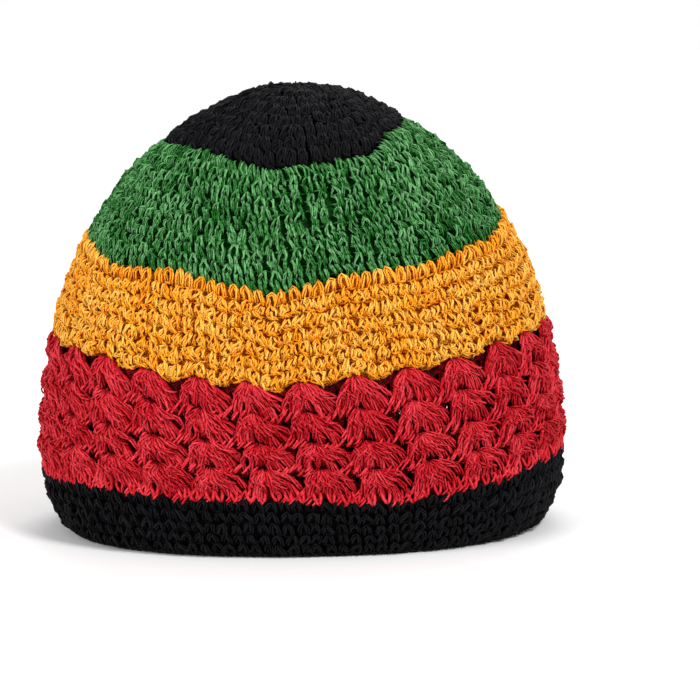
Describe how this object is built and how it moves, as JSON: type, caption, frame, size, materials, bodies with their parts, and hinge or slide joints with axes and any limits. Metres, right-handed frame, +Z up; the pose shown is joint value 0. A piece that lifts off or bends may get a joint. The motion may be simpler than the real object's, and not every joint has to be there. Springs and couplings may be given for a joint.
{
  "type": "crocheted kufi cap",
  "caption": "Brimless crocheted dome cap with black crown, green and gold bands, an openwork red shell band and a black rim, standing on its rim.",
  "frame": {"origin": "middle of the rim, on the surface that the cap rests on", "axes": "+Z up through the crown, -Y towards the front, +X to the right as seen from the front"},
  "size_m": [0.1901, 0.148, 0.16],
  "materials": {
    "black_yarn": "crocheted black yarn, matte with a soft sheen",
    "green_yarn": "crocheted green yarn, matte with a soft sheen",
    "gold_yarn": "crocheted golden yellow yarn, matte with a soft sheen",
    "red_yarn": "openwork of crocheted red yarn, matte with a soft sheen"
  },
  "bodies": {
    "root": {"crown_top": "black_yarn", "green_band": "green_yarn", "gold_band": "gold_yarn", "shell_band": "red_yarn", "rim_band": "black_yarn"}
  },
  "joints": []
}
